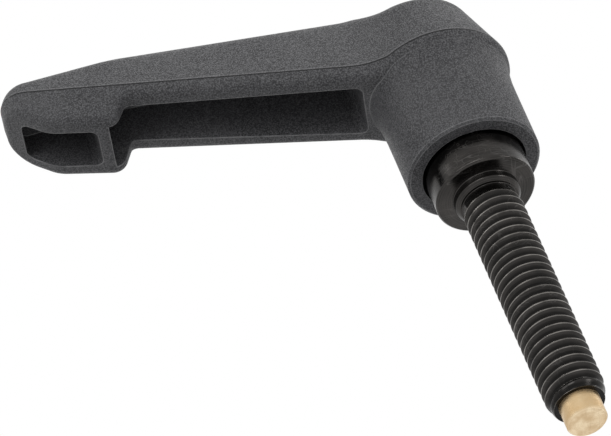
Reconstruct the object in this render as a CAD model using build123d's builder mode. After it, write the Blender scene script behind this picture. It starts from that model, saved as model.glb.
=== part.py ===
"""Adjustable clamping lever with an M6 stud and a brass thrust tip.

A moulded lever turns a toothed steel insert through 24 serrations.  Pulled up
against its spring, the lever leaves the serrations and can be set anew.

Frame: z = 0 is the seat face of the insert's collar, +Z runs up the stud's axis
into the hub, and +X runs along the arm.  All sizes are in millimetres.
"""

import os
from math import cos, radians, sin, tan

from build123d import *

os.makedirs("parts", exist_ok=True)

# ---- Insert: stud, collar and toothed head, turned from one bar
thread_d = 6.0  # M6
thread_pitch = 1.0
stud_length = 27.7  # seat face to the steel end
stud_end_d = 5.1  # taper past the last thread
stud_end_length = 1.5
pilot_d = 6.6  # low step round the thread's root
pilot_height = 1.05
pilot_edge = 0.35
runout_d = 5.4  # plain neck where the thread runs out
runout_width = 0.9
collar_d = 10.0
collar_edge = 0.2  # chamfer at the seat face
insert_height = 9.5  # seat face to the head's top

# ---- Serrations between the insert and the lever
tooth_count = 24
tooth_depth = 0.55
tooth_tip = 0.34  # width at the tip
tooth_flank = 30  # degrees from the radial line
tooth_length = 3.5
tooth_gap = 0.08  # clearance all round

# ---- Brass tip, pressed into the stud's end
tip_d = 4.0
tip_height = 2.3  # stands proud of the steel
tip_edge = 0.15
tip_seat = 3.0  # depth in the stud

# ---- Retaining screw: shoulder screw from the hub's top into the insert
screw_thread_d = 3.0
screw_thread_length = 5.0
shoulder_d = 3.5
head_d = 5.5
head_height = 2.2
socket_width = 2.5  # hexagon, across flats
socket_depth = 1.2

# ---- Spring round the screw's shoulder
spring_length = 7.0  # as fitted
spring_wire = 0.45
spring_turns = 5

# ---- Lever: hub
mouth_gap = 0.25  # between the collar and the hub's mouth
hub_bottom = 3.6  # the collar shows by this much
hub_base_d = 13.4
hub_neck_d = 13.46  # below the flare
hub_d = 14.84  # at the mould parting plane
parting_height = 15.5
flare_height = 5.0  # neck to parting plane
flare_width = 0.4  # out from the neck, at the middle of the lip
lip_height = 1.25  # arm's rounding carried round the hub
lip_blend = 3.0  # lip into the arm's underside
dome_height = 7.95  # parting plane to the hub's top
base_edge = 0.25
web = 2.0  # wall that the spring bears on
head_gap = 0.3  # screw head in its recess
shoulder_gap = 0.1  # shoulder in the web

# ---- Lever: arm
arm_reach = 41.35  # axis to the tip, at the parting line
hub_shoulder = 2.37  # hub beyond the arm's sides, at the parting line
arm_tip_half = 4.1
parting_start = 4.4  # where the parting line leaves the hub's plane
parting_rise = 17.8  # degrees
upper_draft = 17.1  # degrees, walls above the parting line
tip_draft = 7.0  # degrees, end wall above the parting line
crown_lift = 1.7  # the crown's line over the hub's top, at the axis
crown_rise = 9.0  # degrees, along the arm's top
swell_inset = 7.6  # the top swells up to the crown, from this far inside the hub
swell_run = 5.0
swell_blend = 4.5
crown_fall = 3.0  # degrees, over the grip
crown_blend = 14.0
crown_radius = 2.5
waist_radius = 7.5  # hub into arm, in plan
tip_corner = 3.2  # in plan, at the parting line
rim_radius = 1.2  # lower edge

# ---- Lever: underside
arm_depth = 1.6  # parting line to lower rim, where the arm leaves the hub
rim_rise = 18.5  # degrees
grip_length = 11.6  # tip to the step between rim and grip
step_run = 1.6
step_drop = 2.8
step_blend = 0.6
grip_rise = 19.5  # degrees, along the grip's underside
grip_blend = 1.5
grip_end = 3.7  # the nose turns up this far from the tip
nose_height = 1.75  # parting line to the lower edge, at the tip
nose_blend = 4.0

# ---- Lever: hollows
hub_wall = 0.8  # between the hub's neck and the channel
channel_hub_half = 3.25
channel_tip_half = 2.4
channel_draft = 9  # degrees
channel_cover = 3.2  # material left under the crown
rib = 1.15
rib_inset = 0.65  # behind the step's foot
pocket_half = 2.42
pocket_wall = 1.4  # at the tip
pocket_cover = 2.3
hollow_corner = 0.8

# ---- Worked out from the sizes above
collar_r = collar_d / 2
mouth_r = collar_r + mouth_gap
teeth_bottom = insert_height - tooth_length
tooth_root_r = collar_r - tooth_depth
web_top = insert_height + web
head_bottom = web_top + spring_length
recess_r = head_d / 2 + head_gap
spring_r = (shoulder_d / 2 + recess_r) / 2
steel_end = -stud_length
hub_r = hub_d / 2
hub_top = parting_height + dome_height
arm_root_half = hub_r - hub_shoulder
swell_x = hub_r - swell_inset
swell_end = swell_x + swell_run
step_x = arm_reach - grip_length
lip_bottom = parting_height - lip_height
draft = tan(radians(upper_draft))
span = arm_reach + hub_d  # beyond every part of the lever
spare = 1.0  # stock left on the halves until they are cut
channel_x = hub_neck_d / 2 + hub_wall
foot_x = step_x + step_run
rib_x = foot_x + rib_inset
nose_x = arm_reach - grip_end
slope = radians(parting_rise)
arm_plane = Plane(
    origin=(parting_start, 0, parting_height),
    x_dir=(cos(slope), 0, sin(slope)),
    z_dir=(-sin(slope), 0, cos(slope)),
)


def half_at(x):
    """Half width of the arm at its parting line."""
    return arm_root_half + (arm_tip_half - arm_root_half) * x / arm_reach


def parting_at(x):
    """Height of the arm's parting plane at x."""
    return parting_height + (x - parting_start) * tan(slope)


def rim_at(x):
    """Height of the arm's lower rim at x."""
    root = parting_at(parting_start) - arm_depth
    return root + (x - parting_start) * tan(radians(rim_rise))


def crown_at(x):
    """Height of the arm's crown at x."""
    top = hub_top + crown_lift + min(x, step_x) * tan(radians(crown_rise))
    return top - max(x - step_x, 0) * tan(radians(crown_fall))


def crown_half_at(x):
    """Half width of the crown at x, between the arm's drafted walls."""
    return half_at(x) - (crown_at(x) - parting_at(x)) * cos(slope) * draft


def teeth(root_r, tip_r, half_tip):
    """Disc of root_r with a ring of teeth out to tip_r, drawn in the open sketch."""
    half_root = half_tip + (tip_r - root_r) * tan(radians(tooth_flank))
    Circle(root_r)
    with PolarLocations(0, tooth_count):
        Polygon(
            (root_r * 0.9, -half_root), (root_r, -half_root), (tip_r, -half_tip),
            (tip_r, half_tip), (root_r, half_root), (root_r * 0.9, half_root),
            align=None,
        )


def arm_outline(level, corner):
    """Arm in plan at this level over the sloping parting plane, inside its draft."""
    inset = level * draft
    start = -parting_start / cos(slope)
    end = (arm_reach - parting_start) / cos(slope) - level * tan(radians(tip_draft))
    with BuildSketch(arm_plane.offset(level)) as outline:
        Polygon(
            (start, inset - half_at(0)),
            (end, inset - half_at(arm_reach)),
            (end, half_at(arm_reach) - inset),
            (start, half_at(0) - inset),
            align=None,
        )
        fillet(outline.vertices().group_by(Axis.X)[-1], corner)
    return outline.sketch


def channel_walls(x):
    """Section of the channel at x, carried on below the rim."""
    low, high = rim_at(x) - 2 * step_drop, crown_at(x) - channel_cover
    taper = (channel_tip_half - channel_hub_half) / (rib_x - channel_x)
    half = channel_hub_half + taper * (x - channel_x)
    lean = tan(radians(channel_draft))
    wide, slim = half + (rim_at(x) - low) * lean, half - (high - rim_at(x)) * lean
    with BuildSketch(Plane.YZ.offset(x)) as section:
        Polygon((-wide, low), (wide, low), (slim, high), (-slim, high), align=None)
    return section.sketch


# ------------------------------------------------------------------ insert
with BuildPart() as stud_insert:
    with BuildSketch(Plane.XZ):
        with BuildLine():
            Polyline(
                (0, steel_end),
                (stud_end_d / 2, steel_end),
                (thread_d / 2, steel_end + stud_end_length),
                (thread_d / 2, -pilot_height - runout_width - thread_pitch / 4),
                (runout_d / 2, -pilot_height - runout_width),
                (runout_d / 2, -pilot_height),
                (pilot_d / 2 - pilot_edge, -pilot_height),
                (pilot_d / 2, pilot_edge - pilot_height),
                (pilot_d / 2, 0),
                (collar_r - collar_edge, 0),
                (collar_r, collar_edge),
                (collar_r, teeth_bottom),
                (0, teeth_bottom),
                close=True,
            )
        make_face()
    revolve(axis=Axis.Z)
    with BuildSketch(Plane.XY.offset(teeth_bottom)) as head:
        teeth(tooth_root_r, collar_r, tooth_tip / 2)
    extrude(amount=tooth_length)
    with Locations((0, 0, insert_height)):
        Hole(screw_thread_d / 2, depth=screw_thread_length + 0.5)
    with Locations(Location((0, 0, steel_end), (180, 0, 0))):
        Hole(tip_d / 2, depth=tip_seat)
stud_insert.part.label = "stud_insert"
export_step(stud_insert.part, "parts/stud_insert.step")

# --------------------------------------------------------------- brass tip
with BuildPart() as brass_tip:
    with BuildSketch(Plane.XY.offset(steel_end - tip_height)):
        Circle(tip_d / 2)
    extrude(amount=tip_height + tip_seat)
    chamfer(brass_tip.edges().sort_by(Axis.Z)[0], tip_edge)
brass_tip.part.label = "brass_tip"
export_step(brass_tip.part, "parts/brass_tip.step")

# ---------------------------------------------------------- retaining screw
with BuildPart() as retaining_screw:
    with BuildSketch(Plane.XY.offset(insert_height - screw_thread_length)):
        Circle(screw_thread_d / 2)
    extrude(amount=screw_thread_length)
    with BuildSketch(Plane.XY.offset(insert_height)):
        Circle(shoulder_d / 2)
    extrude(amount=web + spring_length)
    with BuildSketch(Plane.XY.offset(head_bottom)):
        Circle(head_d / 2)
    extrude(amount=head_height)
    chamfer(retaining_screw.edges().sort_by(Axis.Z)[-1], 0.3)
    with BuildSketch(Plane.XY.offset(head_bottom + head_height)):
        RegularPolygon(socket_width / 2, 6, major_radius=False)
    extrude(amount=-socket_depth, mode=Mode.SUBTRACT)
retaining_screw.part.label = "retaining_screw"
export_step(retaining_screw.part, "parts/retaining_screw.step")

# ------------------------------------------------------------------ spring
with BuildPart() as spring:
    with BuildLine():
        coil = Helix(
            pitch=(spring_length - spring_wire) / spring_turns,
            height=spring_length - spring_wire,
            radius=spring_r,
            center=(0, 0, web_top + spring_wire / 2),
        )
    with BuildSketch(Plane(origin=coil @ 0, z_dir=coil % 0)):
        RegularPolygon(spring_wire / 2 - 0.01, 6)
    sweep(is_frenet=True)
spring.part.label = "spring"
export_step(spring.part, "parts/spring.step")

# ------------------------------------------------------------------- lever
# Upper half of the mould: drafted walls under a sloping crown.  Hub and arm are made
# too tall both ways, so that the waist between them is blended before it is cut.
with BuildPart() as upper_half:
    low, high = parting_height - 3 * spare, crown_at(hub_r) + spare
    with BuildSketch(Plane.XZ):
        with BuildLine():
            Polyline(
                (0, low),
                (hub_r + (parting_height - low) * draft, low),
                (hub_r - (high - parting_height) * draft, high),
                (0, high),
                close=True,
            )
        make_face()
    revolve(axis=Axis.Z)
    over_crown = (crown_at(swell_end) - parting_height) * cos(slope) + spare
    loft([arm_outline(-spare, tip_corner), arm_outline(over_crown, tip_corner / 5)], ruled=True)
    with BuildSketch(Plane.XZ):
        Polygon(
            (-span, parting_at(-span) - spare),
            (span, parting_at(span) - spare),
            (span, high + (span - hub_r) * tan(radians(crown_rise))),
            (-span, high - (span + hub_r) * tan(radians(crown_rise))),
            align=None,
        )
    extrude(amount=span, both=True, mode=Mode.INTERSECT)
    waist = upper_half.edges().filter_by(lambda e: abs((e % 0.5).Z) > 0.5)
    fillet(waist.filter_by(lambda e: 1 < e.center().X < hub_r), waist_radius)
    with BuildSketch(Plane.XZ) as upper_side:
        with BuildLine():
            Polyline(
                (-span, parting_height),
                (parting_start, parting_height),
                (arm_reach + 1, parting_at(arm_reach + 1)),
                (arm_reach + 1, crown_at(arm_reach + 1)),
                (step_x, crown_at(step_x)),
                (swell_end, crown_at(swell_end)),
                (swell_x, hub_top),
                (-span, hub_top),
                close=True,
            )
        make_face()
        for corner_x, radius in (
            (step_x, crown_blend),
            (swell_end, swell_blend),
            (swell_x, swell_blend),
        ):
            corners = upper_side.vertices()
            fillet(corners.filter_by_position(Axis.X, corner_x - 0.01, corner_x + 0.01), radius)
    extrude(amount=span, both=True, mode=Mode.INTERSECT)
    crown = upper_half.faces().filter_by(lambda f: f.normal_at().Z > 0.8)
    shared = [e for e in crown.edges() if sum(e in f.edges() for f in crown) == 1]
    widest = 0.95 * crown_half_at(swell_end) / tan(radians(45 - upper_draft / 2))
    fillet(shared, min(crown_radius, widest))

# Hollows under the arm: the channel, then the pocket in the grip behind its rib.
with BuildPart() as hollows:
    loft([channel_walls(channel_x), channel_walls(rib_x)], ruled=True)
    fillet(
        hollows.edges().filter_by(lambda e: abs((e % 0.5).Z) > 0.8 and e.center().X < rib_x - 1),
        hollow_corner,
    )
    pocket_x = rib_x + rib
    pocket_end = arm_reach - pocket_wall
    with BuildSketch(Plane.XY.offset(crown_at(arm_reach) - pocket_cover)):
        with Locations(((pocket_x + pocket_end) / 2, 0)):
            RectangleRounded(pocket_end - pocket_x, 2 * pocket_half, hollow_corner)
    extrude(amount=-(crown_at(arm_reach) - pocket_cover - lip_bottom))

with BuildPart() as lever:
    # lower half of the mould: walls straight down from the parting line, round at the rim
    for face in upper_half.faces().filter_by(lambda f: f.normal_at().Z < -0.9):
        extrude(face, amount=span, dir=(0, 0, -1))
    rim_start = parting_start + (lip_bottom - rim_at(parting_start)) / tan(radians(rim_rise))
    grip_low = rim_at(step_x) - step_drop
    with BuildSketch(Plane.XZ) as lower_side:
        with BuildLine():
            Polyline(
                (-span, parting_height),
                (parting_start, parting_height),
                (arm_reach, parting_at(arm_reach)),
                (arm_reach, parting_at(arm_reach) - nose_height),
                (nose_x, grip_low + (nose_x - foot_x) * tan(radians(grip_rise))),
                (foot_x, grip_low),
                (step_x, rim_at(step_x)),
                (rim_start, lip_bottom),
                (-span, lip_bottom),
                close=True,
            )
        make_face()
        for corner_x, radius in (
            (rim_start, lip_blend),
            (step_x, step_blend),
            (foot_x, grip_blend),
            (nose_x, nose_blend),
        ):
            corners = lower_side.vertices()
            fillet(corners.filter_by_position(Axis.X, corner_x - 0.01, corner_x + 0.01), radius)
    extrude(amount=span, both=True, mode=Mode.INTERSECT)
    under = lever.faces().filter_by(lambda f: f.normal_at().Z < -0.1)
    shared = [e for e in under.edges() if sum(e in f.edges() for f in under) == 1]
    shallowest = 0.95 * (parting_at(step_x) - rim_at(step_x)) * cos(radians(rim_rise))
    fillet(shared, min(rim_radius, shallowest))

    # the halves meet at the parting line, and the hub's barrel hangs below
    add(upper_half.part)
    with BuildSketch(Plane.XZ):
        with BuildLine():
            Polyline(
                (0, hub_bottom),
                (hub_base_d / 2 - base_edge, hub_bottom),
                (hub_base_d / 2, hub_bottom + base_edge),
                (hub_neck_d / 2, parting_height - flare_height),
            )
            flare = TangentArc(
                (hub_neck_d / 2, parting_height - flare_height),
                (hub_neck_d / 2 + flare_width, parting_height - lip_height / 2),
                tangent=(0, 1),
            )
            Polyline(flare @ 1, (0, parting_height - lip_height / 2), (0, hub_bottom))
        make_face()
    revolve(axis=Axis.Z)
    add(hollows.part, mode=Mode.SUBTRACT)

    # bore from the mouth, serrations, web and screw recess
    with BuildSketch(Plane.XY.offset(hub_bottom)):
        Circle(mouth_r)
    extrude(amount=teeth_bottom - hub_bottom, mode=Mode.SUBTRACT)
    with BuildSketch(Plane.XY.offset(teeth_bottom)):
        teeth(tooth_root_r + tooth_gap, collar_r + tooth_gap, tooth_tip / 2 + tooth_gap)
    extrude(amount=tooth_length, mode=Mode.SUBTRACT)
    with BuildSketch(Plane.XY.offset(insert_height)):
        Circle(shoulder_d / 2 + shoulder_gap)
    extrude(amount=web, mode=Mode.SUBTRACT)
    with BuildSketch(Plane.XY.offset(web_top)):
        Circle(recess_r)
    extrude(amount=span, mode=Mode.SUBTRACT)
lever.part.label = "lever"
export_step(lever.part, "parts/lever.step")
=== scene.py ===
# %% [markdown]
# # An adjustable clamping lever, dressed for the studio
#
# The solids come from the CAD model: a moulded lever on a toothed steel insert, whose M6 stud ends
# in a brass tip.  This lesson turns the insert and cuts its thread, winds the hidden spring, and
# gives each material the surface that the real one has.

# %% Set-up
import math

import bmesh
import bpy
from mathutils import Matrix, Vector


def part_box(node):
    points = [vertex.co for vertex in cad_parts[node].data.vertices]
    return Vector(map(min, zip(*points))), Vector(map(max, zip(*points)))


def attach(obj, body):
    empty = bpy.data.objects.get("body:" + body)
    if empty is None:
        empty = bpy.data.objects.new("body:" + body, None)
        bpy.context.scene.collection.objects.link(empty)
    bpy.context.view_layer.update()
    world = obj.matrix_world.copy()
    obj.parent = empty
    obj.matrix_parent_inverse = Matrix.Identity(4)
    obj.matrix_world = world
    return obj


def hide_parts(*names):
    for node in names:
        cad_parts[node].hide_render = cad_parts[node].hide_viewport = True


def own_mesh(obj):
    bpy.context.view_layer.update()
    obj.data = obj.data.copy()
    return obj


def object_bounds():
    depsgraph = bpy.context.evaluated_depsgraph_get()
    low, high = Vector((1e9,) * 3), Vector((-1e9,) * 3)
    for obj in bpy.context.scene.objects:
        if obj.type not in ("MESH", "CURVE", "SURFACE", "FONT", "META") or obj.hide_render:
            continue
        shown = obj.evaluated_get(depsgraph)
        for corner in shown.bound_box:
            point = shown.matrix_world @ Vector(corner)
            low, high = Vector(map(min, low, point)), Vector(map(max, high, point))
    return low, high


MM = 0.001  # the frame is in metres, and sizes are easier to read in millimetres
WELD = 1e-7  # metres; vertices closer than this are one

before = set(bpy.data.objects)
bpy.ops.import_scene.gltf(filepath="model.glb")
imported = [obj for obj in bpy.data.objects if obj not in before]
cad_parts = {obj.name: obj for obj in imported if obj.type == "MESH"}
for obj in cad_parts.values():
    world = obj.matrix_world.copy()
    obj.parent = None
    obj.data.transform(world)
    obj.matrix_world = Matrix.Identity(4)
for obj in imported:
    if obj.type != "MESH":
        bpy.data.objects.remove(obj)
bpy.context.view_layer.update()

# %% [markdown]
# ## Pieces
#
# A finished piece is a mesh that already stands where it belongs, so that its object can stay at
# the origin.  One helper turns a bmesh into such an object, smooths it, marks the edges that are
# really sharp, hangs it on the body that carries it, and hides the solid that it stands for.


# %% From bmesh to piece
def make_piece(bm, name, body, stands_for, sharp_angle=35):
    """Turns a bmesh into an object that rides on a body in place of a CAD solid."""
    bmesh.ops.recalc_face_normals(bm, faces=bm.faces)
    open_edges = sum(not edge.is_manifold for edge in bm.edges)
    mesh = bpy.data.meshes.new(name)
    bm.to_mesh(mesh)
    bm.free()
    mesh.shade_smooth()
    mesh.set_sharp_from_angle(angle=math.radians(sharp_angle))
    piece = bpy.data.objects.new(name, mesh)
    bpy.context.scene.collection.objects.link(piece)
    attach(piece, body)
    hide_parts(stands_for)
    print(f"{name}: {len(mesh.polygons)} faces, {open_edges} open edges, on {body}")
    return piece


# %% [markdown]
# ## The thread
#
# The CAD stud is a plain cylinder, because a fine thread is costly in a solid.  On the real stud it
# is rolled: 60 degree flanks, a rounded root, and crests a little under 6 mm across.
# A helical sweep along a curve would twist its section, and a displaced cylinder would stretch its
# faces.  Here one pitch of the profile is drawn as a few joined vertices and spun once up the axis:
# each step of the spin also climbs by its share of the pitch.  Copies of that turn are stacked, a
# pitch apart, and welded together, which is much quicker than a spin of many turns.

# %% Spin the thread
PITCH = 1.0 * MM
THREAD_START = -28.91 * MM  # root under the first crest, on the +X side
THREAD_TURNS = 28
STEPS_A_TURN = 96
THREAD_PROFILE = (  # share of the pitch, radius
    (0.00, 2.40 * MM),
    (0.11, 2.44 * MM),
    (0.40, 2.89 * MM),
    (0.455, 2.955 * MM),
    (0.545, 2.955 * MM),
    (0.60, 2.89 * MM),
    (0.89, 2.44 * MM),
    (1.00, 2.40 * MM),
)

stud = bmesh.new()
section = [stud.verts.new((r, 0, THREAD_START + share * PITCH)) for share, r in THREAD_PROFILE]
line = [stud.edges.new(pair) for pair in zip(section, section[1:])]
bmesh.ops.spin(
    stud,
    geom=section + line,
    cent=(0, 0, 0),
    axis=(0, 0, 1),
    dvec=(0, 0, PITCH / STEPS_A_TURN),
    angle=2 * math.pi,
    steps=STEPS_A_TURN,
    use_merge=False,
)
one_turn = stud.verts[:] + stud.edges[:] + stud.faces[:]
for turn_number in range(1, THREAD_TURNS):
    copied = bmesh.ops.duplicate(stud, geom=one_turn)["geom"]
    raised = [g for g in copied if isinstance(g, bmesh.types.BMVert)]
    bmesh.ops.translate(stud, verts=raised, vec=(0, 0, PITCH * turn_number))
bmesh.ops.remove_doubles(stud, verts=stud.verts, dist=WELD)
print("thread:", len(stud.verts), "vertices in", THREAD_TURNS, "turns")

# %% [markdown]
# A thread doesn't stop at full height.  At the stud's end the crests sink into a long taper, and
# under the collar they run out into a plain neck.  Both are limits on the radius that depend on
# the height, so each vertex is pushed in or out to stay inside them.

# %% Taper the end and run the thread out
STUD_END = -27.7 * MM
TAPER_LENGTH = 1.5 * MM
TAPER_END_R = 2.55 * MM
CREST_R = 3.0 * MM
NECK_R = 2.7 * MM
NECK_LEVEL = -1.95 * MM
RUNOUT = 0.3 * MM


def radius_limits(z):
    """Least and greatest radius of the stud at height z."""
    climb = min(max((z - STUD_END) / TAPER_LENGTH, 0), 1)
    greatest = TAPER_END_R + (CREST_R - TAPER_END_R) * climb
    near = min(max((z - NECK_LEVEL + RUNOUT) / RUNOUT, 0), 1)
    greatest = min(greatest, CREST_R + (NECK_R - CREST_R) * near)
    return NECK_R * near, greatest


for v in stud.verts:
    r = math.hypot(v.co.x, v.co.y)
    least, greatest = radius_limits(v.co.z)
    scale = min(max(r, least), greatest) / r
    v.co.x *= scale
    v.co.y *= scale

# %% [markdown]
# ## The turned parts
#
# The thread is now cut square at both levels.  Everything else on the insert is turned: the neck,
# the pilot, the collar's seat and its side.  Each is a ring of some radius at some level, so the
# cut's own rim is extruded from ring to ring, which keeps the neck welded to the thread.  The same
# loop sinks the bore that holds the brass tip into the stud's end.


# %% Cut levels and draw rings
def cut_away(bm, level, side):
    """Takes away what lies beyond a level, above it (side 1) or below it (side -1)."""
    bmesh.ops.bisect_plane(
        bm,
        geom=bm.verts[:] + bm.edges[:] + bm.faces[:],
        dist=WELD / 10,
        plane_co=(0, 0, level),
        plane_no=(0, 0, side),
        clear_outer=True,
    )
    return [e for e in bm.edges if e.is_boundary and all(abs(v.co.z - level) < WELD for v in e.verts)]


def draw_rings(bm, rim, rings):
    """Extrudes a rim from ring to ring, each a (radius, level), and closes the last one."""
    for radius, level in rings:
        made = set(bmesh.ops.extrude_edge_only(bm, edges=rim)["geom"])
        rim = [g for g in made if isinstance(g, bmesh.types.BMEdge) and g.is_boundary]
        for v in {v for edge in rim for v in edge.verts}:
            outwards = Vector((v.co.x, v.co.y, 0)).normalized()
            v.co = outwards * radius + Vector((0, 0, level))
    bmesh.ops.contextual_create(bm, geom=rim)


COLLAR_R = 5.0 * MM
COLLAR_TOP = 6.0 * MM
COLLAR_EDGE = 0.2 * MM
PILOT_R = 3.3 * MM
PILOT_END = -1.05 * MM
PILOT_EDGE = 0.35 * MM
SCREW_BORE_R = 1.5 * MM
SCREW_BORE_END = 4.0 * MM

tip_low, tip_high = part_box("brass_tip")
lower_rim = cut_away(stud, STUD_END, -1)
upper_rim = cut_away(stud, NECK_LEVEL, 1)
draw_rings(stud, lower_rim, [(tip_high.x, STUD_END), (tip_high.x, tip_high.z)])
draw_rings(stud, upper_rim, [
    (NECK_R, PILOT_END),
    (PILOT_R - PILOT_EDGE, PILOT_END),
    (PILOT_R, PILOT_END + PILOT_EDGE),
    (PILOT_R, 0),
    (COLLAR_R - COLLAR_EDGE, 0),
    (COLLAR_R, COLLAR_EDGE),
    (COLLAR_R, COLLAR_TOP),
    (SCREW_BORE_R, COLLAR_TOP),
    (SCREW_BORE_R, SCREW_BORE_END),
])
print("turned insert:", len(stud.faces), "faces")

# %% [markdown]
# No turned edge is razor sharp: a file breaks it, and that narrow round is what catches the light.
# So the ring edges from the neck up to the collar's lower rim are bevelled.

# %% Break the turned edges
BROKEN_EDGE = 0.07 * MM
CORNER = math.radians(30)  # faces that meet at more than this make an edge
ring_edges = [
    edge
    for edge in stud.edges
    if NECK_LEVEL + RUNOUT < edge.verts[0].co.z < COLLAR_TOP / 2
    and edge.is_manifold
    and edge.calc_face_angle(0) > CORNER
]
bmesh.ops.bevel(
    stud,
    geom=ring_edges,
    offset=BROKEN_EDGE,
    offset_type="OFFSET",
    segments=3,
    profile=0.5,
    affect="EDGES",
    material=-1,
)
print("broken edges:", len(ring_edges))

# %% [markdown]
# The toothed head above the collar is right as it is.  A welded copy of the CAD insert is cut just
# over the collar, and triangle_fill closes the cut, whose section is a toothed ring with a hole.

# %% Add the toothed head
HEAD_GAP = 0.005 * MM  # keeps the cut clear of the collar's own face
head = bmesh.new()
head.from_mesh(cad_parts["stud_insert"].data)
bmesh.ops.remove_doubles(head, verts=head.verts, dist=WELD)
head_rim = cut_away(head, COLLAR_TOP + HEAD_GAP, -1)
bmesh.ops.triangle_fill(head, use_beauty=True, edges=head_rim, normal=(0, 0, -1))
carried = bpy.data.meshes.new("carried")
head.to_mesh(carried)
head.free()
stud.from_mesh(carried)
bpy.data.meshes.remove(carried)
threaded_insert = make_piece(stud, "threaded_insert", "insert", "stud_insert", 28)

# %% [markdown]
# ## The brass tip
#
# A short rod pressed into the stud's end, so that the clamped work isn't marked.  Half of its
# section is drawn from axis to axis and spun once round, and the merged ends make closed poles.

# %% Spin the brass tip
TIP_EDGE = 0.15 * MM
TIP_STEPS = 96
tip_section = (
    (0, tip_low.z),
    (tip_high.x - TIP_EDGE, tip_low.z),
    (tip_high.x, tip_low.z + TIP_EDGE),
    (tip_high.x, tip_high.z),
    (0, tip_high.z),
)
tip = bmesh.new()
corners = [tip.verts.new((r, 0, level)) for r, level in tip_section]
sides = [tip.edges.new(pair) for pair in zip(corners, corners[1:])]
bmesh.ops.spin(
    tip,
    geom=corners + sides,
    cent=(0, 0, 0),
    axis=(0, 0, 1),
    angle=2 * math.pi,
    steps=TIP_STEPS,
    use_merge=True,
)
bmesh.ops.remove_doubles(tip, verts=tip.verts, dist=WELD)
turned_tip = make_piece(tip, "turned_tip", "insert", "brass_tip", 30)

# %% [markdown]
# ## The spring
#
# It sits round the retaining screw, out of sight, and shortens as the lever is pulled up.

# %% Wind the spring
low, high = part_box("spring")
WIRE_R = 0.215 * MM
WIRE_SIDES = 10
SPRING_TURNS = 5
SPRING_STEPS = 36
coil_r = high.x - WIRE_R
rise = (high.z - low.z - 2 * WIRE_R) / SPRING_TURNS

wire = bmesh.new()
section = bmesh.ops.create_circle(wire, cap_ends=False, radius=WIRE_R, segments=WIRE_SIDES)["verts"]
bmesh.ops.rotate(wire, verts=section, cent=(0, 0, 0), matrix=Matrix.Rotation(math.pi / 2, 3, "X"))
bmesh.ops.translate(wire, verts=section, vec=(coil_r, 0, low.z + WIRE_R))
bmesh.ops.spin(
    wire,
    geom=wire.verts[:] + wire.edges[:],
    cent=(0, 0, 0),
    axis=(0, 0, 1),
    dvec=(0, 0, rise / SPRING_STEPS),
    angle=2 * math.pi * SPRING_TURNS,
    steps=SPRING_STEPS * SPRING_TURNS,
    use_merge=False,
)
bmesh.ops.holes_fill(wire, edges=[e for e in wire.edges if e.is_boundary], sides=0)
coil = make_piece(wire, "coil_spring", "spring", "spring")
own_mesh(coil)

# %% [markdown]
# ## Materials
#
# Every material starts from the Principled shader.  What changes over a surface, such as grain,
# scratches and the moulding's seam, comes from node groups that are built once and placed with
# their own values.  They read Object coordinates, which on these pieces are metres in the frame.


# %% Helpers for nodes
def new_material(name, color, **sockets):
    """A material whose shader has these constants; returns it, its tree and the shader."""
    material = bpy.data.materials.new(name)
    material.use_nodes = True
    principled = material.node_tree.nodes["Principled BSDF"]
    principled.inputs["Base Color"].default_value = (*color, 1)
    for socket, value in sockets.items():
        principled.inputs[socket.replace("_", " ").title().replace("Ior", "IOR")].default_value = value
    return material, material.node_tree, principled


def place(tree, kind, feeds=None, **settings):
    """Adds a node, sets its properties, and links or sets its inputs by name or number."""
    node = tree.nodes.new(kind)
    for key, value in settings.items():
        setattr(node, key, value)
    for socket, value in (feeds or {}).items():
        if isinstance(value, bpy.types.NodeSocket):
            tree.links.new(value, node.inputs[socket])
        else:
            node.inputs[socket].default_value = value
    return node


def calculate(tree, operation, *values):
    """A Math node's result."""
    return place(tree, "ShaderNodeMath", dict(enumerate(values)), operation=operation).outputs[0]


def smooth_range(tree, value, start, end, low=0.0, high=1.0):
    """Follows a value from low to high as it goes from start to end, with soft ends."""
    feeds = dict(enumerate((value, start, end, low, high)))
    return place(tree, "ShaderNodeMapRange", feeds, interpolation_type="SMOOTHSTEP").outputs[0]


def mix_colors(tree, share, first, second):
    """Mixes two colours; each is three numbers or a socket."""
    node = place(tree, "ShaderNodeMix", {0: share}, data_type="RGBA")
    for name, color in (("A", first), ("B", second)):
        socket = next(s for s in node.inputs if s.name == name and s.type == "RGBA")
        if isinstance(color, bpy.types.NodeSocket):
            tree.links.new(color, socket)
        else:
            socket.default_value = (*color, 1)
    return next(s for s in node.outputs if s.type == "RGBA")


def tint(tree, mask, strength, under, over):
    """Lays a colour over another where a mask says so, never more than the strength."""
    return mix_colors(tree, calculate(tree, "MULTIPLY", mask, strength), under, over)


def axis_distance(tree, x, y):
    """How far a point is from the stud's axis."""
    squares = calculate(tree, "MULTIPLY_ADD", x, x, calculate(tree, "MULTIPLY", y, y))
    return calculate(tree, "SQRT", squares)


VALUE, VECTOR = "NodeSocketFloat", "NodeSocketVector"


def new_group(name, inputs, outputs):
    """A shader node group with named sockets; returns the tree, its inputs and its output node."""
    tree = bpy.data.node_groups.new(name, "ShaderNodeTree")
    for socket, kind, value in inputs:
        made = tree.interface.new_socket(socket, in_out="INPUT", socket_type=kind)
        if value is not None:
            made.default_value = value
    for socket in outputs:
        tree.interface.new_socket(socket, in_out="OUTPUT", socket_type=VALUE)
    return tree, tree.nodes.new("NodeGroupInput").outputs, tree.nodes.new("NodeGroupOutput")


def use_group(tree, group, feeds):
    """Places a node group and returns its outputs."""
    return place(tree, "ShaderNodeGroup", feeds, node_tree=group).outputs


def object_place(tree):
    """Object coordinates, in metres."""
    return tree.nodes.new("ShaderNodeTexCoord").outputs["Object"]


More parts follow.
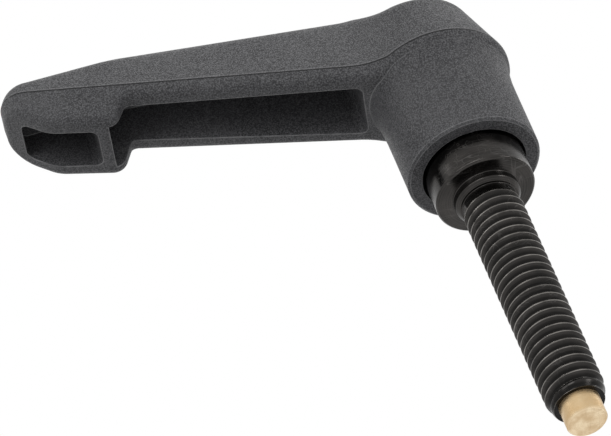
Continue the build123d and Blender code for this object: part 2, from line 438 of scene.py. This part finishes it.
# %% [markdown]
# ### Grain
#
# A mould is spark-eroded, so a moulding comes out with a fine pebbled skin.  An image of such a
# skin would need unwrapping, so it is worked out instead: round cells give the pebbles, and a
# noise of about the same scale keeps them from looking stamped.

# %% Grain group
grain, given, put = new_group(
    "mould_grain",
    [("Place", VECTOR, None), ("Grains a Metre", VALUE, 5000.0)],
    ["Height", "Tone"],
)
cells = place(
    grain,
    "ShaderNodeTexVoronoi",
    {"Vector": given["Place"], "Scale": given["Grains a Metre"]},
    feature="F1",
)
uneven = place(
    grain,
    "ShaderNodeTexNoise",
    {"Vector": given["Place"], "Scale": given["Grains a Metre"], "Detail": 3.0, "Roughness": 0.65},
)
nearness = calculate(grain, "SUBTRACT", 1.0, cells.outputs["Distance"])
pebble = calculate(grain, "MULTIPLY", nearness, 0.45)
height = calculate(grain, "ADD", pebble, uneven.outputs[0])
grain.links.new(height, put.inputs["Height"])
grain.links.new(smooth_range(grain, height, 0.55, 0.98), put.inputs["Tone"])

# %% [markdown]
# ### Seam
#
# The two halves of the mould meet in a line round the hub, level with the hub's widest circle, that
# climbs with the arm.  The mask measures the height over that line, and keeps to the outside: the
# channel, the pocket and the bores were made by cores, so they have no seam.  Just above the dark
# line a light one is a painted highlight, where a trace of flash would catch light.

# %% Seam group
SEAM_LEVEL = 15.5 * MM
SEAM_BEND = 4.4 * MM
SEAM_SLOPE = math.tan(math.radians(17.8))
SEAM_HALF_WIDTH = 0.11 * MM
HOLLOW_HALF = 3.6 * MM
HOLLOW_END = 40.4 * MM
BORE_R = 6.0 * MM

seam, given, put = new_group("mould_seam", [("Place", VECTOR, None)], ["Line", "Flash Highlight"])
x, y, z = place(seam, "ShaderNodeSeparateXYZ", {0: given["Place"]}).outputs
past_bend = calculate(seam, "MAXIMUM", calculate(seam, "SUBTRACT", x, SEAM_BEND), 0.0)
line_level = calculate(seam, "MULTIPLY_ADD", past_bend, SEAM_SLOPE, SEAM_LEVEL)
over = calculate(seam, "SUBTRACT", z, line_level)
distance = calculate(seam, "ABSOLUTE", over)
dark = smooth_range(seam, distance, 0.5 * SEAM_HALF_WIDTH, 1.4 * SEAM_HALF_WIDTH, 1.0, 0.0)
above = calculate(seam, "ABSOLUTE", calculate(seam, "SUBTRACT", over, 2.2 * SEAM_HALF_WIDTH))
light = smooth_range(seam, above, 0.4 * SEAM_HALF_WIDTH, 1.2 * SEAM_HALF_WIDTH, 1.0, 0.0)
off_bore = calculate(seam, "GREATER_THAN", axis_distance(seam, x, y), BORE_R)
beside = calculate(seam, "GREATER_THAN", calculate(seam, "ABSOLUTE", y), HOLLOW_HALF)
past_ends = calculate(
    seam,
    "MAXIMUM",
    calculate(seam, "GREATER_THAN", x, HOLLOW_END),
    calculate(seam, "LESS_THAN", x, BORE_R),
)
outside = calculate(seam, "MULTIPLY", off_bore, calculate(seam, "MAXIMUM", beside, past_ends))
seam.links.new(calculate(seam, "MULTIPLY", dark, outside), put.inputs["Line"])
seam.links.new(calculate(seam, "MULTIPLY", light, outside), put.inputs["Flash Highlight"])

# %% [markdown]
# ### Rubbed edges and painted edge highlights
#
# Hands and pockets polish the edges first.  The Bevel node gives the normal that a rounded edge
# would have, and where that differs from the real normal there is an edge.  A noise breaks the
# line up, because wear is never even.  The lighter colour laid on this mask is partly that wear
# and partly a painted highlight.  The rounded normal is given out too, so that light breaks on
# the edge as on a real one.

# %% Rubbed edge and highlight group
edge_wear_and_highlight, given, put = new_group(
    "rubbed_edge_and_highlight",
    [("Place", VECTOR, None), ("Reach", VALUE, 0.0001), ("Breaks a Metre", VALUE, 900.0)],
    ["Mask"],
)
edge_wear_and_highlight.interface.new_socket("Normal", in_out="OUTPUT", socket_type=VECTOR)
rounded = place(edge_wear_and_highlight, "ShaderNodeBevel", {"Radius": given["Reach"]}, samples=8)
plain = place(edge_wear_and_highlight, "ShaderNodeNewGeometry")
alike = place(
    edge_wear_and_highlight,
    "ShaderNodeVectorMath",
    {0: rounded.outputs["Normal"], 1: plain.outputs["Normal"]},
    operation="DOT_PRODUCT",
)
turned_away = calculate(edge_wear_and_highlight, "SUBTRACT", 1.0, alike.outputs["Value"])
edge_mask = smooth_range(edge_wear_and_highlight, turned_away, 0.008, 0.07)
breaks = place(
    edge_wear_and_highlight,
    "ShaderNodeTexNoise",
    {"Vector": given["Place"], "Scale": given["Breaks a Metre"], "Detail": 4.0, "Roughness": 0.6},
)
worn_and_highlit = smooth_range(edge_wear_and_highlight, breaks.outputs[0], 0.35, 0.6, 0.45, 1.0)
edge_wear_and_highlight.links.new(calculate(edge_wear_and_highlight, "MULTIPLY", edge_mask, worn_and_highlit), put.inputs["Mask"])
edge_wear_and_highlight.links.new(rounded.outputs["Normal"], put.inputs["Normal"])

# %% [markdown]
# ### Scratches
#
# Fine handling marks are long, thin and few.  A noise that is stretched one way has long level
# lines, and a narrow band round its middle value is a set of hairs.  Two such sets cross at an
# angle, and a broad noise keeps them to patches.

# %% Scratch group
PATCHES_A_METRE = 260.0

scratches, given, put = new_group(
    "fine_scratches",
    [("Place", VECTOR, None), ("Marks a Metre", VALUE, 500.0), ("Hair", VALUE, 0.012)],
    ["Mask"],
)
sets = []
for rotation, stretch in (((0.4, 0.9, 0.2), (0.12, 1.0, 1.0)), ((1.1, 0.3, 1.4), (1.0, 0.10, 1.0))):
    turned = place(
        scratches, "ShaderNodeMapping", {"Vector": given["Place"], "Rotation": rotation, "Scale": stretch}
    )
    long_noise = place(
        scratches,
        "ShaderNodeTexNoise",
        {"Vector": turned.outputs[0], "Scale": given["Marks a Metre"], "Detail": 1.0},
    )
    from_middle = calculate(scratches, "SUBTRACT", long_noise.outputs[0], 0.5)
    off_middle = calculate(scratches, "ABSOLUTE", from_middle)
    sets.append(smooth_range(scratches, off_middle, 0.0, given["Hair"], 1.0, 0.0))
patches = place(
    scratches,
    "ShaderNodeTexNoise",
    {"Vector": given["Place"], "Scale": PATCHES_A_METRE, "Detail": 2.0},
)
handled = smooth_range(scratches, patches.outputs[0], 0.46, 0.6)
both_sets = calculate(scratches, "MAXIMUM", *sets)
scratches.links.new(calculate(scratches, "MULTIPLY", both_sets, handled), put.inputs["Mask"])

# %% [markdown]
# ### Turning marks
#
# A lathe tool leaves rings, level by level on a side and circle by circle on a face.  One noise
# that depends on level plus radius alone gives both, on every turned part.

# %% Turning group
turning, given, put = new_group(
    "turning_marks",
    [("Place", VECTOR, None), ("Rings a Metre", VALUE, 9000.0)],
    ["Height"],
)
x, y, z = place(turning, "ShaderNodeSeparateXYZ", {0: given["Place"]}).outputs
along = calculate(turning, "ADD", axis_distance(turning, x, y), z)
rings = place(
    turning,
    "ShaderNodeTexNoise",
    {"W": calculate(turning, "MULTIPLY", along, given["Rings a Metre"]), "Scale": 1.0, "Detail": 2.0},
    noise_dimensions="1D",
)
turning.links.new(rings.outputs[0], put.inputs["Height"])

# %% [markdown]
# ### Crests and roots
#
# A nut rubs the thread's crests bright, and they also carry a painted highlight; the roots are
# painted darker as painted shade.  Both depend only on the distance from the axis, on the part of
# the insert below the neck.

# %% Thread crest highlight and root shade group
RUB_START, RUB_FULL = 2.925 * MM, 2.952 * MM  # radii between which the crests turn bright
ROOT_SHADE_FULL, ROOT_SHADE_END = 2.50 * MM, 2.90 * MM  # radii between which the painted shade in the roots thins out

thread_highlight_and_shade, given, put = new_group("thread_highlight_and_shade", [("Place", VECTOR, None)], ["Crest", "Root Shade"])
x, y, z = place(thread_highlight_and_shade, "ShaderNodeSeparateXYZ", {0: given["Place"]}).outputs
radius = axis_distance(thread_highlight_and_shade, x, y)
below = calculate(thread_highlight_and_shade, "LESS_THAN", z, NECK_LEVEL)
# Crests: rubbing plus painted highlight.  Roots: painted shade.
crest_rub_and_highlight = smooth_range(thread_highlight_and_shade, radius, RUB_START, RUB_FULL)
root_shade = smooth_range(thread_highlight_and_shade, radius, ROOT_SHADE_FULL, ROOT_SHADE_END, 1.0, 0.0)
thread_highlight_and_shade.links.new(calculate(thread_highlight_and_shade, "MULTIPLY", crest_rub_and_highlight, below), put.inputs["Crest"])
thread_highlight_and_shade.links.new(calculate(thread_highlight_and_shade, "MULTIPLY", root_shade, below), put.inputs["Root Shade"])

# %% [markdown]
# ### Handling
#
# No finish is quite even: skin oil, dust and the mould's own flow leave broad, faint clouds.

# %% Clouds group
clouds, given, put = new_group(
    "broad_clouds", [("Place", VECTOR, None), ("Clouds a Metre", VALUE, 90.0)], ["Tone"]
)
drift = place(
    clouds,
    "ShaderNodeTexNoise",
    {"Vector": given["Place"], "Scale": given["Clouds a Metre"], "Detail": 5.0, "Roughness": 0.55},
)
clouds.links.new(smooth_range(clouds, drift.outputs[0], 0.3, 0.7), put.inputs["Tone"])

# %% [markdown]
# ### The moulding
#
# Glass-filled nylon in dark grey: rough, with a faint sheen where light grazes it.  The grain
# tilts the surface and speckles the colour, the seam is a dark hair line with a painted highlight
# above it, and the edges round the mouth, the channel and the pocket are painted a little lighter,
# partly as polish and partly as painted highlight.

# %% Moulding material
moulding, tree, shader = new_material(
    "textured_moulding", (0.080, 0.080, 0.084), specular_ior_level=0.22
)
where = object_place(tree)
grains = use_group(tree, grain, {"Place": where, "Grains a Metre": 6600.0})
seams = use_group(tree, seam, {"Place": where})
edges = use_group(tree, edge_wear_and_highlight, {"Place": where, "Reach": 0.22 * MM, "Breaks a Metre": 700.0})
hairs = use_group(tree, scratches, {"Place": where, "Marks a Metre": 420.0, "Hair": 0.006})
cloud = use_group(tree, clouds, {"Place": where, "Clouds a Metre": 85.0})

speckled = mix_colors(tree, grains["Tone"], (0.028, 0.028, 0.030), (0.118, 0.118, 0.124))
clouded = mix_colors(
    tree, smooth_range(tree, cloud["Tone"], 0.0, 1.0, 0.0, 0.12), speckled, (0.15, 0.15, 0.155)
)
# Partly polish, partly painted highlight: the edges are laid lighter.
edge_worn_and_highlit = tint(tree, edges["Mask"], 0.8, clouded, (0.26, 0.26, 0.265))
scuffed = tint(tree, hairs["Mask"], 0.22, edge_worn_and_highlit, (0.27, 0.27, 0.27))
# Painted highlight: a light line laid just above the seam.
flash_highlighted = tint(tree, seams["Flash Highlight"], 0.35, scuffed, (0.21, 0.21, 0.215))
lined = mix_colors(tree, seams["Line"], flash_highlighted, (0.004, 0.004, 0.005))
tree.links.new(lined, shader.inputs["Base Color"])

dull = smooth_range(tree, grains["Tone"], 0.0, 1.0, 0.62, 0.40)
handled = calculate(tree, "MULTIPLY_ADD", cloud["Tone"], -0.06, dull)
polished = calculate(tree, "MULTIPLY_ADD", edges["Mask"], -0.12, handled)
tree.links.new(polished, shader.inputs["Roughness"])

pebbles = place(
    tree,
    "ShaderNodeBump",
    {"Strength": 0.9, "Distance": 0.045 * MM, "Height": grains["Height"], "Normal": edges["Normal"]},
)
groove = place(
    tree,
    "ShaderNodeBump",
    {"Strength": 0.6, "Distance": 0.05 * MM, "Height": seams["Line"], "Normal": pebbles.outputs[0]},
    invert=True,
)
tree.links.new(groove.outputs[0], shader.inputs["Normal"])

# %% [markdown]
# ### Blackened steel
#
# The oxide is a thin black layer with the steel's own turning marks under it.  It is oiled, so it
# shines.  Its crests and broken edges are painted lighter, partly as rubbed oxide and partly as a
# painted highlight, and its thread roots are painted darker as painted shade.


# %% Black oxide material
def black_oxide(name, rings_a_metre, rub_and_highlight):
    """Oiled black oxide; edges and crests worn and painted with highlight, roots painted with shade."""
    material, tree, shader = new_material(name, (0.036, 0.034, 0.033), metallic=1.0)
    where = object_place(tree)
    marks = use_group(tree, turning, {"Place": where, "Rings a Metre": rings_a_metre})
    edges = use_group(tree, edge_wear_and_highlight, {"Place": where, "Reach": 0.06 * MM, "Breaks a Metre": 1500.0})
    hairs = use_group(tree, scratches, {"Place": where, "Marks a Metre": 900.0, "Hair": 0.014})
    cloud = use_group(tree, clouds, {"Place": where, "Clouds a Metre": 380.0})
    thread_light_and_shade = use_group(tree, thread_highlight_and_shade, {"Place": where})
    blotched = mix_colors(tree, cloud["Tone"], (0.026, 0.025, 0.024), (0.046, 0.043, 0.041))
    ringed = mix_colors(
        tree, smooth_range(tree, marks["Height"], 0.35, 0.75, 0.0, 0.5), blotched, (0.065, 0.061, 0.057)
    )
    scratched = tint(tree, hairs["Mask"], 0.4, ringed, (0.12, 0.115, 0.11))
    # Painted shade: the thread roots are laid darker.
    root_shaded = tint(tree, thread_light_and_shade["Root Shade"], 0.75, scratched, (0.006, 0.006, 0.006))
    uneven = smooth_range(tree, cloud["Tone"], 0.0, 1.0, 0.2, 0.85)
    uneven_crest_highlight = calculate(tree, "MULTIPLY", thread_light_and_shade["Crest"], uneven)
    # Partly wear, partly painted highlight: edges and crests are laid lighter.
    bare_and_highlit = calculate(tree, "MULTIPLY", calculate(tree, "MAXIMUM", edges["Mask"], uneven_crest_highlight), rub_and_highlight)
    tree.links.new(mix_colors(tree, bare_and_highlit, root_shaded, (0.42, 0.40, 0.37)), shader.inputs["Base Color"])
    oiled = smooth_range(tree, cloud["Tone"], 0.0, 1.0, 0.16, 0.28)
    dulled = calculate(tree, "MULTIPLY_ADD", hairs["Mask"], 0.12, oiled)
    tree.links.new(dulled, shader.inputs["Roughness"])
    bump = place(
        tree, "ShaderNodeBump", {"Strength": 0.35, "Distance": 0.01 * MM, "Height": marks["Height"]}
    )
    tree.links.new(bump.outputs[0], shader.inputs["Normal"])
    return material


blackened = black_oxide("black_oxide_steel", 7000.0, 0.6)
screw_steel = black_oxide("screw_black_oxide", 9000.0, 0.3)

# %% [markdown]
# ### Brass
#
# The tip is parted off and faced on a lathe, so its end carries rings, and the alloy is pale.
# Its side is painted browner and darker: painted shade for the darker surroundings that it
# reflects.  Its edges are painted paler, partly as wear and partly as painted highlight.  Clouds of
# tarnish and a few scratches keep it from looking like plastic.

# %% Brass material
brass, tree, shader = new_material("turned_brass", (0.78, 0.62, 0.40), metallic=1.0)
where = object_place(tree)
marks = use_group(tree, turning, {"Place": where, "Rings a Metre": 8000.0})
hairs = use_group(tree, scratches, {"Place": where, "Marks a Metre": 1100.0, "Hair": 0.02})
cloud = use_group(tree, clouds, {"Place": where, "Clouds a Metre": 700.0})
edges = use_group(tree, edge_wear_and_highlight, {"Place": where, "Reach": 0.08 * MM, "Breaks a Metre": 1800.0})
x, y, z = place(tree, "ShaderNodeSeparateXYZ", {0: where}).outputs
SIDE_START, SIDE_FULL = tip_high.x - 0.06 * MM, tip_high.x - 0.01 * MM
# Painted shade: the side is laid darker and browner than the faced end.
side = smooth_range(tree, axis_distance(tree, x, y), SIDE_START, SIDE_FULL, 0.0, 0.6)
mottled = mix_colors(tree, cloud["Tone"], (0.60, 0.44, 0.26), (0.86, 0.71, 0.49))
side_shaded = mix_colors(tree, side, mottled, (0.46, 0.31, 0.14))
ringed = mix_colors(
    tree, smooth_range(tree, marks["Height"], 0.3, 0.7, 0.0, 0.45), side_shaded, (0.58, 0.43, 0.26)
)
scratched = tint(tree, hairs["Mask"], 0.5, ringed, (0.45, 0.32, 0.18))
# Partly wear, partly painted highlight: the edges are laid paler.
bright = tint(tree, edges["Mask"], 0.6, scratched, (0.95, 0.83, 0.62))
tree.links.new(bright, shader.inputs["Base Color"])
satin = smooth_range(tree, cloud["Tone"], 0.0, 1.0, 0.46, 0.34)
tree.links.new(calculate(tree, "MULTIPLY_ADD", hairs["Mask"], 0.1, satin), shader.inputs["Roughness"])
bump = place(tree, "ShaderNodeBump", {"Strength": 0.4, "Distance": 0.012 * MM, "Height": marks["Height"]})
tree.links.new(bump.outputs[0], shader.inputs["Normal"])

# %% [markdown]
# ### Spring wire
#
# Drawn wire is bright, with faint lines from the die and a little oil.

# %% Spring wire material
spring_steel, tree, shader = new_material("bright_spring_wire", (0.50, 0.50, 0.51), metallic=1.0)
where = object_place(tree)
hairs = use_group(tree, scratches, {"Place": where, "Marks a Metre": 1600.0, "Hair": 0.03})
cloud = use_group(tree, clouds, {"Place": where, "Clouds a Metre": 500.0})
oiled = mix_colors(tree, cloud["Tone"], (0.38, 0.38, 0.39), (0.60, 0.60, 0.61))
drawn = tint(tree, hairs["Mask"], 0.6, oiled, (0.22, 0.21, 0.20))
tree.links.new(drawn, shader.inputs["Base Color"])
tree.links.new(smooth_range(tree, cloud["Tone"], 0.0, 1.0, 0.24, 0.38), shader.inputs["Roughness"])

# %% [markdown]
# ### Dressing
#
# The lever and the screw keep their CAD solids, and the pieces made above stand for the others.
# Each of the five has one material.


# %% Dress every node and piece
def dress(thing, material):
    """Gives a solid or a piece its one material."""
    thing.data.materials.clear()
    thing.data.materials.append(material)


dress(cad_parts["lever"], moulding)
dress(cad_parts["retaining_screw"], screw_steel)
dress(threaded_insert, blackened)
dress(turned_tip, brass)
dress(coil, spring_steel)

# %% [markdown]
# ## Studio
#
# The lever stands on its brass tip over a pale floor, and is looked at from below.  So the floor
# shows its upper side only: its back is clear, and it neither shades nor lights the lever.  A glow
# for the camera's eyes alone makes the paper pale, and the lever's soft shadow stays on it.

# %% Floor
FLOOR_SIZE = 2.0  # from its middle to a side, in metres
FLOOR_GAP = 0.1 * MM
PAPER_GLOW = 0.38  # seen by the camera alone, so it lights nothing
low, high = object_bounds()
floor_mesh = bpy.data.meshes.new("floor")
bm = bmesh.new()
bmesh.ops.create_grid(bm, x_segments=1, y_segments=1, size=FLOOR_SIZE)
bmesh.ops.translate(bm, verts=bm.verts, vec=(0, 0, low.z - FLOOR_GAP))
bm.to_mesh(floor_mesh)
bm.free()
floor = bpy.data.objects.new("floor", floor_mesh)
bpy.context.scene.collection.objects.link(floor)
for kind in ("diffuse", "glossy", "transmission", "shadow"):
    setattr(floor, "visible_" + kind, False)
print("floor faces up:", floor_mesh.polygons[0].normal.z > 0)

paper = bpy.data.materials.new("paper")
paper.use_nodes = True
tree = paper.node_tree
tree.nodes.clear()
back = place(tree, "ShaderNodeNewGeometry")
sheet = place(tree, "ShaderNodeBsdfDiffuse", {"Color": (0.9, 0.9, 0.9, 1)})
glow = place(tree, "ShaderNodeEmission", {"Color": (1, 1, 1, 1), "Strength": PAPER_GLOW})
pale = place(tree, "ShaderNodeAddShader", {0: sheet.outputs[0], 1: glow.outputs[0]})
clear = place(tree, "ShaderNodeBsdfTransparent")
seen = place(
    tree, "ShaderNodeMixShader", {0: back.outputs["Backfacing"], 1: pale.outputs[0], 2: clear.outputs[0]}
)
place(tree, "ShaderNodeOutputMaterial", {"Surface": seen.outputs[0]})
floor.data.materials.append(paper)

# %% [markdown]
# The world lights the lever softly from all round, and is white where the camera or a gloss sees
# it, as a studio's paper is.

# %% World
WORLD_LIGHT = 0.5
world = bpy.data.worlds.new("studio")
bpy.context.scene.world = world
world.use_nodes = True
tree = world.node_tree
tree.nodes.clear()
path = place(tree, "ShaderNodeLightPath")
lit = place(tree, "ShaderNodeBackground", {"Color": (1, 1, 1, 1), "Strength": WORLD_LIGHT})
white = place(tree, "ShaderNodeBackground", {"Color": (1, 1, 1, 1), "Strength": 1.0})
shown = calculate(tree, "MAXIMUM", path.outputs["Is Camera Ray"], path.outputs["Is Glossy Ray"])
shown = calculate(tree, "MAXIMUM", shown, path.outputs["Is Transmission Ray"])
both = place(tree, "ShaderNodeMixShader", {0: shown, 1: lit.outputs[0], 2: white.outputs[0]})
place(tree, "ShaderNodeOutputWorld", {"Surface": both.outputs[0]})
bpy.context.scene.view_settings.view_transform = "Standard"

# %% [markdown]
# The camera looks up along the arm from the stud's side, with a long lens and a tilted head.

# %% Camera
AIM = Vector((17.03, 0, 3.86)) * MM
AZIMUTH, ELEVATION, ROLL = (math.radians(a) for a in (171.746, -41.067, -22.254))
DISTANCE = 462.7 * MM
LENS, SENSOR = 284.14, 36  # millimetres, as on a real camera

camera = bpy.data.objects.new("camera", bpy.data.cameras.new("camera"))
bpy.context.scene.collection.objects.link(camera)
bpy.context.scene.camera = camera
camera.data.sensor_width = SENSOR
camera.data.lens = LENS
back_axis = Vector((
    math.sin(AZIMUTH) * math.cos(ELEVATION),
    -math.cos(AZIMUTH) * math.cos(ELEVATION),
    math.sin(ELEVATION),
))
turn = back_axis.to_track_quat("Z", "Y") @ Matrix.Rotation(ROLL, 3, "Z").to_quaternion()
camera.matrix_world = Matrix.Translation(AIM + back_axis * DISTANCE) @ turn.to_matrix().to_4x4()
bpy.context.view_layer.update()

# %% [markdown]
# Lamps are placed as in a studio: so many degrees to the right of the camera and so many above it.
# Two soft ones from the left light the arm and the hub, a third on the right draws a line of light
# along the stud, two small ones behind edge the glossy steel, and a broad one overhead keeps the
# lever's back from going dull.  A lamp lights only what lies in front of its own plane, so where
# that plane meets the floor the light ends in a hard line.  Far lamps put that line far off.


# %% Lamps
LAMP_DISTANCE = 1.0


def lamp(name, right, up, size, watts):
    """An area lamp that looks at the aim; its angles are degrees from the camera's direction."""
    made = bpy.data.objects.new(name, bpy.data.lights.new(name, "AREA"))
    bpy.context.scene.collection.objects.link(made)
    made.data.size = size
    made.data.energy = watts
    right, up = math.radians(right), math.radians(up)
    away = Vector((math.sin(right) * math.cos(up), math.sin(up), math.cos(right) * math.cos(up)))
    away = camera.matrix_world.to_3x3() @ away
    spot = AIM + away * LAMP_DISTANCE
    made.matrix_world = Matrix.Translation(spot) @ away.to_track_quat("Z", "Y").to_matrix().to_4x4()


lamp("left_key", -40, 20, 0.40, 1.20)
lamp("upper_key", -20, 40, 0.40, 2.08)
lamp("right_line", 65, 30, 0.28, 1.84)
lamp("left_edge", -110, 30, 0.16, 0.48)
lamp("right_edge", 120, 30, 0.16, 0.48)
lamp("overhead", 180, 50, 0.60, 0.80)
